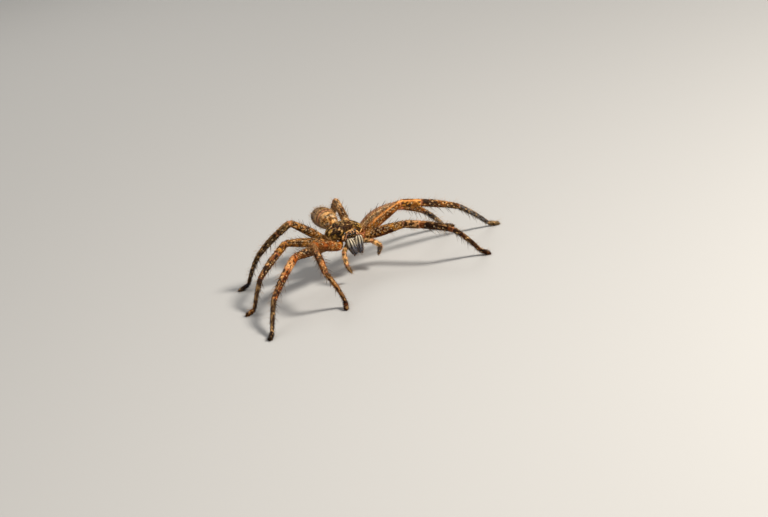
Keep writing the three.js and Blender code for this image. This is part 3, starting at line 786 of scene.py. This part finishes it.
def make_sternum():
    share, x, z = sphere_rows(60, 64)
    middle, top = STERNUM["middle_y"], STERNUM["top"]
    inset = INSET["sternum"]
    heart = 1 - 0.3 * np.maximum(0, share) ** 2
    px = x * (STERNUM["width"] / 2 - inset) * heart
    py = share * (STERNUM["length"] / 2 - inset) + middle
    pz = np.where(z > 0, top - GAP * (1 - z), top - (STERNUM["depth"] - inset) * np.abs(z) ** 0.7)
    local = np.dstack([px, py, pz])
    plate = body_patch(local)
    plate.colour = mottled(local, CINNAMON, RUSSET, 1.0, 101)
    return plate


# The lip's length in the solids and half sizes in the skin, and the waist's radius by the share of its length
LIP_LENGTH = 1.0
LIP_SIZES = (0.4, 0.48, 0.58)
WAIST_PROFILE = [(0, 0.0), (0.02, 0.66), (0.5, 0.62), (0.98, 0.7), (1, 0.0)]
# Spinning cones at the rear: how far out, how high and how long each pair is
CONES = ((0.42, -0.32, 1.3), (0.5, 0.22, 1.5), (0.16, -0.02, 0.9))
CONE_PROFILE = [(0, 0.0), (0.02, 0.36), (0.66, 0.29), (0.7, 0.22), (0.9, 0.2), (1, 0.0)]


def make_underside():
    """Breastplate, lip, waist and the six small spinning cones, each a patch of the skin."""
    lip_y = STERNUM["middle_y"] - (STERNUM["length"] + LIP_LENGTH) / 2 - GAP
    local = ball([0, lip_y, STERNUM["top"] - STERNUM["depth"] * 0.62], LIP_SIZES, 24, 28)
    lip = body_patch(local)
    lip.colour = mottled(local, RUSSET, COCOA, 0.5, 103)
    found = [make_sternum(), lip, cone_patch(*PEDICEL, WAIST_PROFILE, 28, RUSSET)]
    rear = ABDOMEN["middle_y"] + ABDOMEN["length"] / 2
    for x, z, length in CONES:
        for side in SIDES.values():
            ends = (side * x, rear - 0.5, z), (side * x * 1.5, rear + length, z - 0.25)
            found.append(cone_patch(*ends, CONE_PROFILE, 20, KHAKI))
    return found


def cone_patch(start, end, profile, columns, colour):
    share = np.linspace(0, 1, 30)
    line = np.array(start, float) + share[:, None] * (np.array(end, float) - np.array(start, float))
    side, top = carried_frames(line, UP)
    radius = profile_at(profile, share)
    local = tube(line, side, top, radius, radius, columns)
    patch = body_patch(local)
    patch.colour = mottled(local, colour, colour * 0.45, 0.4, 107)
    return patch


# Meshes
def new_object(name, mesh):
    obj = bpy.data.objects.new(name, mesh)
    bpy.context.scene.collection.objects.link(obj)
    return obj


def paint(obj, colours):
    layer = obj.data.color_attributes.new("marking", "FLOAT_COLOR", "POINT")
    flat = np.ones((len(colours), 4), np.float32)
    flat[:, :3] = colours
    layer.data.foreach_set("color", flat.ravel())


def lay_map(obj, places):
    """One place on the OFBake map for each face corner."""
    layer = obj.data.uv_layers.new(name="OFBake")
    layer.data.foreach_set("uv", np.asarray(places, np.float32).ravel())


def dress(obj, look, slot_name, *nodes):
    """Gives a piece its material and hides the solids that it stands for. The slot name is not used."""
    obj.data.materials.append(materials[look])
    if nodes:
        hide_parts(*nodes)
    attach(obj, "root")


def patch_mesh(patches, areas, name):
    """One mesh of several patches, each unwrapped into its own area of the map: (left, low, wide, high)."""
    vertices, colours, faces, places = [], [], [], []
    first = 0
    for patch, (left, low, wide, high) in zip(patches, areas):
        rows, columns = patch.rows, patch.columns
        for grid, found in ((patch.points, vertices), (patch.colour, colours)):
            found.append(np.concatenate([grid[0, :1], grid[1:-1].reshape(-1, 3), grid[-1, :1]]))
        last = first + 1 + (rows - 2) * columns

        def corner(i, j):
            """The vertex at a row and column, where each end row has just one."""
            return max(first, min(first + 1 + (i - 1) * columns + int(j) % columns, last))

        def spot(i, j):
            """The place of a row and column on the map."""
            return (left + wide * i / (rows - 1), low + high * j / columns)

        for i, j in np.ndindex(rows - 1, columns):
            ring = [(i, j), (i + 1, j), (i + 1, j + 1), (i, j + 1)]
            if i == 0:
                ring = [(0, j + 0.5), *ring[1:3]]
            if i == rows - 2:
                ring[1:3] = [(rows - 1, j + 0.5)]
            faces.append([corner(*at) for at in ring])
            places += [spot(*at) for at in ring]
        first = last + 1
    mesh = bpy.data.meshes.new(name)
    mesh.from_pydata((np.concatenate(vertices) * MM).tolist(), [], faces)
    mesh.polygons.foreach_set("use_smooth", [True] * len(mesh.polygons))
    obj = new_object(name, mesh)
    paint(obj, np.concatenate(colours))
    lay_map(obj, places)
    return obj


def single_piece(patch, name, look, slot_name, node):
    """A piece of one patch, with the whole map to itself, that stands for one solid."""
    dress(patch_mesh([patch], [(0, 0, 1, 1)], name), look, slot_name, node)


# Each hair is a thin three-sided cone with one bend: two rings of three corners and a tip
HAIR_FACES = np.array(
    [(0, 2, 1)]
    + [f for i in range(3) for f in ((i, (i + 1) % 3, 3 + (i + 1) % 3), (i, 3 + (i + 1) % 3, 3 + i))]
    + [(3 + i, 3 + (i + 1) % 3, 6) for i in range(3)]
)
HAIR_CORNERS = 7
TUFT_SIZE = 0.003  # of one hair on the map
MAP_MARGIN = 0.005


def hair_places():
    """Where the corners of one hair's faces lie on its small patch of the map, with its sides rolled out."""
    corners = [(0.1, 0.0), (0.5, 0.2), (0.9, 0.0)]
    for i in range(3):
        a, b = i / 3, (i + 1) / 3
        corners += [(a, 0.2), (b, 0.2), (b, 0.6), (a, 0.2), (b, 0.6), (a, 0.6)]
    for i in range(3):
        corners += [(i / 3, 0.6), ((i + 1) / 3, 0.6), ((i + 0.5) / 3, 1.0)]
    return np.array(corners) * TUFT_SIZE


HAIR_PLACES = hair_places()


class Roots:
    """Places for hairs, drawn at random from a patch in proportion to its area and growth."""

    def __init__(self, patch, count, growth=None):
        p = patch.points
        right = np.roll(p, -1, axis=1)
        area = np.linalg.norm(np.cross(p[1:] - p[:-1], right[:-1] - p[:-1]), axis=-1)
        weight = area * (patch.growth if growth is None else growth)[:-1]
        cell = draw.choice(weight.size, count, p=(weight / weight.sum()).ravel())
        i, j = np.divmod(cell, patch.columns)
        a, b = draw.random(count)[:, None], draw.random(count)[:, None]
        k = (j + 1) % patch.columns

        def blend(grid):
            near = grid[i, j] * (1 - b) + grid[i, k] * b
            far = grid[i + 1, j] * (1 - b) + grid[i + 1, k] * b
            return near * (1 - a) + far * a

        self.point = blend(p)
        self.normal = unit(blend(patch.normals()))
        self.along = unit(p[i + 1, j] - p[i, j] + 1e-9)
        self.colour = blend(patch.colour)
        self.place = np.stack([(i + a[:, 0]) / patch.rows, (j + b[:, 0]) / patch.columns], axis=-1)


# A kind of hair: how many, length, radius, degrees off the skin, how much flatter the tip lies, how far it
# sways to the side, and how much lighter than the skin and how dim it is
Hair = namedtuple("Hair", "count length radius lean bend sway lighter dim", defaults=[0.0, 1.0])
LOWER_SHARE, UPPER_SHARE = 0.55, 0.45  # of a hair's length, up to its bend and beyond it
BEND_GIRTH = 0.7  # as a share of the root's
ROOT_SHADE = 0.8
SUNK = 0.04
LEAN_SPREAD = 7
LEAST_HEIGHT = 0.01  # of a hair over the floor


def varied(shape):
    """Random factors from 0.75 to 1.25."""
    return 0.75 + 0.5 * draw.random(shape)


def hairs(roots, kind):
    """Corners, tones and map places of the hairs of one kind."""
    count = len(roots.point)
    across = np.cross(roots.normal, roots.along)
    turn = np.radians(kind.sway * draw.standard_normal(count))[:, None]
    lay = roots.along * np.cos(turn) + across * np.sin(turn)
    low = np.radians(np.clip(kind.lean + LEAN_SPREAD * draw.standard_normal(count), 8, 88))[:, None]
    tip_low = np.clip(low - radians(kind.bend), 0.05, None)
    length = (kind.length * varied(count))[:, None]
    first = roots.normal * np.sin(low) + lay * np.cos(low)
    second = roots.normal * np.sin(tip_low) + lay * np.cos(tip_low)
    wide = unit(np.cross(first, roots.normal) + 1e-6 * across)
    high = np.cross(wide, first)
    corners = np.empty((count, HAIR_CORNERS, 3))
    middle = roots.point + first * length * LOWER_SHARE
    for i in range(3):
        a = 2 * pi * i / 3
        around = wide * cos(a) + high * -sin(a)
        corners[:, i] = roots.point - roots.normal * SUNK + around * kind.radius
        corners[:, 3 + i] = middle + around * kind.radius * BEND_GIRTH
    corners[:, 6] = middle + second * length * UPPER_SHARE
    colours = mix(roots.colour, CREAM, kind.lighter * np.ones(count)) * kind.dim
    tone = np.repeat(colours[:, None] * varied((count, 1, 1)), HAIR_CORNERS, axis=1)
    tone[:, :3] *= ROOT_SHADE
    return corners, tone, roots.place


def hair_piece(name, groups, slot_name):
    corners, tones, places = (np.concatenate(parts) for parts in zip(*groups))
    corners[..., 2] = np.maximum(corners[..., 2], LEAST_HEIGHT)
    count = len(corners)
    faces = (HAIR_FACES[None] + HAIR_CORNERS * np.arange(count)[:, None, None]).reshape(-1, 3)
    mesh = bpy.data.meshes.new(name)
    mesh.vertices.add(count * HAIR_CORNERS)
    mesh.vertices.foreach_set("co", (corners * MM).ravel())
    mesh.loops.add(faces.size)
    mesh.loops.foreach_set("vertex_index", faces.ravel())
    mesh.polygons.add(len(faces))
    mesh.polygons.foreach_set("loop_start", np.arange(0, faces.size, 3))
    mesh.update(calc_edges=True)
    obj = new_object(name, mesh)
    paint(obj, tones.reshape(-1, 3))
    spread = MAP_MARGIN + places[:, None] * (1 - 2 * MAP_MARGIN - TUFT_SIZE) + HAIR_PLACES[None]
    lay_map(obj, spread.reshape(-1, 2))
    dress(obj, "coat", slot_name)


# Materials
def shader(name, roughness, specular=0.5, coat=0.0):
    material = bpy.data.materials.new(name)
    material.use_nodes = True
    body = material.node_tree.nodes["Principled BSDF"]
    body.inputs["Roughness"].default_value = roughness
    body.inputs["Specular IOR Level"].default_value = specular
    body.inputs["Coat Weight"].default_value = coat
    return material, material.node_tree, body


def add_node(tree, kind, **values):
    """A shader node, with values for its sockets."""
    node = tree.nodes.new("ShaderNode" + kind)
    for socket, value in values.items():
        node.inputs[socket.replace("_", " ")].default_value = value
    return node


def fine_noise(tree, size, detail=3.0):
    """Noise with features of a size in millimetres, on the object's own places."""
    place = add_node(tree, "TexCoord")
    texture = add_node(tree, "TexNoise", Scale=1 / (size * MM), Detail=detail)
    tree.links.new(place.outputs["Object"], texture.inputs["Vector"])
    return texture.outputs["Fac"]


def spanned(tree, value, low, high):
    """A value from 0 to 1, spread between low and high."""
    span = add_node(tree, "MapRange", To_Min=low, To_Max=high)
    tree.links.new(value, span.inputs["Value"])
    return span.outputs["Result"]


def tinted(tree, colour, factor, low, high):
    """A colour lightened and darkened by a factor between two strengths."""
    scaled = add_node(tree, "VectorMath")
    scaled.operation = "SCALE"
    tree.links.new(colour, scaled.inputs[0])
    tree.links.new(spanned(tree, factor, low, high), scaled.inputs["Scale"])
    return scaled.outputs["Vector"]


def marked_material(name, roughness, grain, bump, specular):
    """The markings, with a finer grain in their tone, their gloss and the surface."""
    material, tree, body = shader(name, roughness, specular)
    marking = add_node(tree, "Attribute")
    marking.attribute_name = "marking"
    texture = fine_noise(tree, grain)
    tone = tinted(tree, marking.outputs["Color"], texture, 0.55, 1.45)
    tree.links.new(tone, body.inputs["Base Color"])
    gloss = spanned(tree, texture, roughness - 0.15, roughness + 0.15)
    tree.links.new(gloss, body.inputs["Roughness"])
    relief = add_node(tree, "Bump", Strength=bump, Distance=0.05 * MM)
    tree.links.new(fine_noise(tree, grain * 0.6, 2.0), relief.inputs["Height"])
    tree.links.new(relief.outputs["Normal"], body.inputs["Normal"])
    return material


def plain_material(name, colour, roughness, grain, specular=0.5, coat=0.0):
    material, tree, body = shader(name, roughness, specular, coat)
    base = add_node(tree, "RGB")
    base.outputs[0].default_value = (*colour, 1)
    tone = tinted(tree, base.outputs[0], fine_noise(tree, grain), 0.7, 1.3)
    tree.links.new(tone, body.inputs["Base Color"])
    return material


# Roughness, size of the grain, strength of the relief and specular level
MARKED = {"skin": (0.6, 0.16, 0.6, 0.12), "shell": (0.6, 0.14, 0.6, 0.08), "coat": (0.75, 0.3, 0.0, 0.02)}
# Colour, roughness, size of the grain, specular level and clear coat
PLAIN = {
    "spine": (srgb(58, 36, 22), 0.3, 0.3),
    "claw": (srgb(24, 16, 14), 0.3, 0.2),
    "fang": (srgb(62, 22, 14), 0.18, 0.5, 0.5, 0.4),
    "eye": (srgb(10, 8, 8), 0.06, 0.2, 0.7, 1.0),
}
materials = {name: marked_material("spider_" + name, *values) for name, values in MARKED.items()}
materials |= {name: plain_material("spider_" + name, *values) for name, values in PLAIN.items()}

# Patches of the skin and the shell
legs = {name: make_leg(name) for name in STANCE}
palps = {name: make_palp(name) for name in PALP_STANCE}
abdomen = make_abdomen()
underside = make_underside()
carapace = make_carapace()
jaws = {word: make_chelicera(side) for word, side in SIDES.items()}


def make_skin():
    """One piece for legs, palps, abdomen and underside, with an area of the map for each, in that order."""
    areas = [(0.5 * (i % 2), 0.1 * (i // 2), 0.49, 0.09) for i in range(8)]
    areas += [(0.0, 0.41, 0.49, 0.06), (0.5, 0.41, 0.49, 0.06)]
    areas += [(0.0, 0.49, 0.55, 0.5)]
    areas += [(0.57, 0.49, 0.25, 0.25), (0.84, 0.49, 0.15, 0.12), (0.84, 0.63, 0.15, 0.1)]
    areas += [(0.57 + 0.14 * (i % 3), 0.76 + 0.12 * (i // 3), 0.13, 0.11) for i in range(6)]
    skin = patch_mesh([*legs.values(), *palps.values(), abdomen, *underside], areas, "skin")
    segments = ("femur", "tibia", "metatarsus", "tarsus")
    flesh = [f"{name}_{part}" for name in STANCE for part in segments]
    flesh += [f"{name}_{part}" for name in PALP_STANCE for part in ("femur", "tibia", "tarsus")]
    dress(skin, "skin", "leg", "abdomen", "pedicel", "sternum", "labium", "spinnerets", *flesh)


def make_shell():
    """The carapace and the jaws."""
    single_piece(carapace, "carapace_shell", "shell", "carapace", "carapace")
    for word, jaw in jaws.items():
        single_piece(jaw, "jaw_" + word, "shell", "chelicera", "chelicera_" + word)


# Eyes, fangs, spines and claws
def make_eyes():
    for name, (x, y, z, radius) in EYES.items():
        for word, side in SIDES.items():
            node = f"eye_{name}_{word}"
            local = ball([side * x, y, z], (radius,) * 3, 24, 32)
            single_piece(body_patch(local), "glossy_" + node, "eye", "eye", node)


def make_fangs():
    for word, side in SIDES.items():
        down, back, top = jaw_axes(side)
        outward = np.array([side, 0, 0])
        length = CHELICERA["length"]
        inward = radians(FANG["inward"])
        run = back * cos(inward) - outward * sin(inward)
        tip_of_jaw = top + down * length - outward * CHELICERA["inward"] * length
        beneath = top + down * (length + GAP + FANG["radius"]) + outward * FANG["hinge"]
        root = tip_of_jaw - down * 0.5 + outward * 0.2
        turn = beneath - back * FANG["length"] * 0.3
        end = beneath + run * FANG["length"] * 0.7 - down * FANG["curl"]
        share = np.linspace(0, 1, 40)[:, None]
        line = (1 - share) ** 2 * root + 2 * share * (1 - share) * turn + share**2 * end
        share = share[:, 0]
        radius = FANG["radius"] * (1.25 - 1.2 * share**0.8) * np.clip(share / 0.04, 0, 1)
        radius[-1] = 0
        sides, tops = carried_frames(line, np.array([1.0, 0.0, 0.0]))
        fang = body_patch(tube(line, sides, tops, radius, radius, 20))
        single_piece(fang, "curved_fang_" + word, "fang", "fang", "fang_" + word)


def spine_patch(root, direction, curve, length, radius):
    share = np.linspace(0, 1, 9)
    line = root + share[:, None] * length * direction + (0.12 * length * share**2)[:, None] * curve
    sides, tops = carried_frames(line, curve)
    girth = radius * (1 - share) ** 0.7 * np.clip(share / 0.06 + 0.4, 0, 1)
    girth[0] = 0
    return Patch(tube(line, sides, tops, girth, girth, 8))


def map_cells(count, per_row, filled):
    """Equal areas of the map in rows, each filled to a share."""
    size = filled / per_row
    return [((i % per_row) / per_row, (i // per_row) / per_row, size, size) for i in range(count)]


def make_spines():
    patches = []
    for leg in legs.values():
        for root, direction, curve, length in leg.spines:
            patches.append(spine_patch(root - SPINE_SUNK * direction, direction, curve, length, SPINE_RADIUS))
    cells = map_cells(len(patches), ceil(sqrt(len(patches))), 0.9)
    dress(patch_mesh(patches, cells, "spines"), "spine", "fang")


CLAW_LENGTH, CLAW_RADIUS = 0.42, 0.06


def make_claws():
    """Two claws at the toe of each leg."""
    patches = []
    for leg in legs.values():
        tip = leg.line[-1] + shift
        along = unit(leg.line[-1] - leg.line[-6])
        level = unit(np.array([along[0], along[1], 0]))
        across = np.cross(level, [0, 0, 1])
        for side in SIDES.values():
            root = tip + across * side * 0.12 - level * 0.05 + [0, 0, 0.1]
            direction = unit(level + 0.25 * side * across + [0, 0, 0.15])
            patches.append(spine_patch(root, direction, -UP, CLAW_LENGTH, CLAW_RADIUS))
    dress(patch_mesh(patches, map_cells(len(patches), 4, 0.96), "claws"), "claw", "fang")


# The coat
LEG_HAIR = {
    "down": Hair(6500, 0.4, 0.021, 20, 13, 14, 0.04),
    "stray": Hair(420, 1.2, 0.019, 50, 22, 25, 0.35),
    "long": Hair(90, 2.0, 0.02, 66, 26, 30, 0.45),
    "brush": Hair(900, 0.5, 0.022, 55, 12, 14, dim=0.55),
}
PALP_HAIR = [Hair(1500, 0.42, 0.018, 26, 12, 14, 0.1), Hair(220, 1.0, 0.018, 55, 20, 25, 0.45)]
ABDOMEN_HAIR = [Hair(11000, 0.32, 0.021, 20, 10, 14, 0.03), Hair(500, 1.2, 0.02, 50, 22, 25, 0.4)]
JAW_HAIR = [Hair(3200, 0.34, 0.019, 16, 8, 6), Hair(160, 1.1, 0.018, 50, 20, 20, 0.3)]
STERNUM_HAIR = [Hair(900, 0.5, 0.02, 35, 12, 25, 0.2)]
CARAPACE_HAIR = {
    "fur": Hair(6000, 0.2, 0.02, 20, 10, 18, 0.02),
    "stray": Hair(160, 0.9, 0.018, 55, 20, 25, 0.5),
    "mask": Hair(1500, 0.18, 0.018, 24, 12, 18),
    "fringe": Hair(420, 0.55, 0.022, 40, 14, 20, dim=0.7),
}


def coat(name, patch, kinds, slot_name):
    roots = [Roots(patch, kind.count) for kind in kinds]
    hair_piece(name, [hairs(*pair) for pair in zip(roots, kinds)], slot_name)


def make_leg_coat(name, leg):
    """Down and stray hairs all over, a few long ones, and a brush under the foot."""
    segment = leg.segment[:, None]
    growth = {
        "down": leg.growth,
        "stray": leg.growth * (1 + (segment > IN_FEMUR)),
        "long": leg.growth * (segment > IN_COXA) * (1 + (segment > IN_PATELLA)),
        "brush": (segment > IN_TIBIA) * (1 - leg.above) * (0.4 + (segment > IN_METATARSUS)),
    }
    groups = [hairs(Roots(leg, kind.count, growth[part]), kind) for part, kind in LEG_HAIR.items()]
    hair_piece("coat_" + name, groups, "leg")


def make_carapace_coat():
    """Short fur and a few stray hairs off the eyes, a mask over the face, and a fringe along its edge."""
    x, y, z = np.moveaxis((carapace.points - shift - [0, 0, BODY_HEIGHT]) @ BODY_TURN, -1, 0)
    off_eyes = np.ones(x.shape)
    for ex, ey, ez, radius in ALL_EYES:
        off_eyes *= np.sqrt((x - ex) ** 2 + (y - ey) ** 2 + (z - ez) ** 2) > radius + 0.1
    growth = {
        "fur": (0.15 + (z > 0.1)) * off_eyes,
        "stray": (0.15 + (z > 0.1)) * off_eyes,
        "mask": (y < -3.6) * (z > 0) * off_eyes,
        "fringe": (y < -4.5) * (z < 0.4) * (np.abs(x) < 2.6) * off_eyes,
    }
    roots = {part: Roots(carapace, kind.count, growth[part]) for part, kind in CARAPACE_HAIR.items()}
    groups = [hairs(roots[part], CARAPACE_HAIR[part]) for part in ("fringe", "fur", "stray", "mask")]
    hair_piece("coat_carapace", groups, "carapace")


make_skin()
make_shell()
make_eyes()
make_fangs()
make_spines()
make_claws()
for name, leg in legs.items():
    make_leg_coat(name, leg)
for name, palp in palps.items():
    coat("coat_" + name, palp, PALP_HAIR, "palp")
coat("coat_abdomen", abdomen, ABDOMEN_HAIR, "abdomen")
make_carapace_coat()
for word, jaw in jaws.items():
    coat("coat_jaw_" + word, jaw, JAW_HAIR, "chelicera")
coat("coat_sternum", underside[0], STERNUM_HAIR, "underside")


# Floor, light and camera, with places and sizes in metres
FLOOR_SIZE = 12
FLOOR_COLOUR = (0.5, 0.49, 0.47, 1)
SKY = {"Color": (0.96, 0.97, 1.0, 1), "Strength": 0.2}
# Each lamp's place, size, power and colour
LAMPS = {
    "key": ((0.28, -0.36, 0.4), 0.12, 5.3, (1.0, 0.95, 0.88)),
    "fill": ((-0.5, -0.3, 0.3), 0.4, 0.6, (0.97, 0.98, 1.0)),
    "rim": ((0.05, 0.45, 0.4), 0.3, 1.0, (1.0, 0.98, 0.94)),
}


def make_stage():
    bpy.ops.mesh.primitive_plane_add(size=FLOOR_SIZE)
    floor = bpy.context.object
    floor.name = "floor"
    material, _, body = shader("pale_floor", 0.7, 0.2)
    body.inputs["Base Color"].default_value = FLOOR_COLOUR
    floor.data.materials.append(material)
    world = bpy.data.worlds.new("studio")
    bpy.context.scene.world = world
    world.use_nodes = True
    for socket, value in SKY.items():
        world.node_tree.nodes["Background"].inputs[socket].default_value = value
    for name, values in LAMPS.items():
        lamp(name, *values)
    bpy.context.scene.view_settings.view_transform = "Standard"


def lamp(name, place, size, power, colour):
    data = bpy.data.lights.new(name, "AREA")
    data.size = size
    data.energy = power
    data.color = colour
    light = new_object(name, data)
    light.location = place
    light.rotation_mode = "QUATERNION"
    light.rotation_quaternion = mathutils.Vector(-np.array(place)).to_track_quat("-Z", "Y")


def make_camera():
    azimuth, roll = radians(CAMERA["azimuth"]), radians(CAMERA["roll"])
    back = heading(CAMERA["azimuth"], CAMERA["elevation"])
    level = np.array([cos(azimuth), sin(azimuth), 0])
    upright = np.cross(back, level)
    right = cos(roll) * level + sin(roll) * upright
    top = -sin(roll) * level + cos(roll) * upright
    place = CAMERA["across"] * right + CAMERA["above"] * top + CAMERA["distance"] * back + shift
    data = bpy.data.cameras.new("camera")
    data.lens = LENS
    data.sensor_width = SENSOR
    data.clip_start = 0.01
    camera = new_object("camera", data)
    turn = mathutils.Matrix(np.stack([right, top, back], axis=1).tolist())
    camera.matrix_world = mathutils.Matrix.Translation(place * MM) @ turn.to_4x4()
    bpy.context.scene.camera = camera


make_stage()
make_camera()
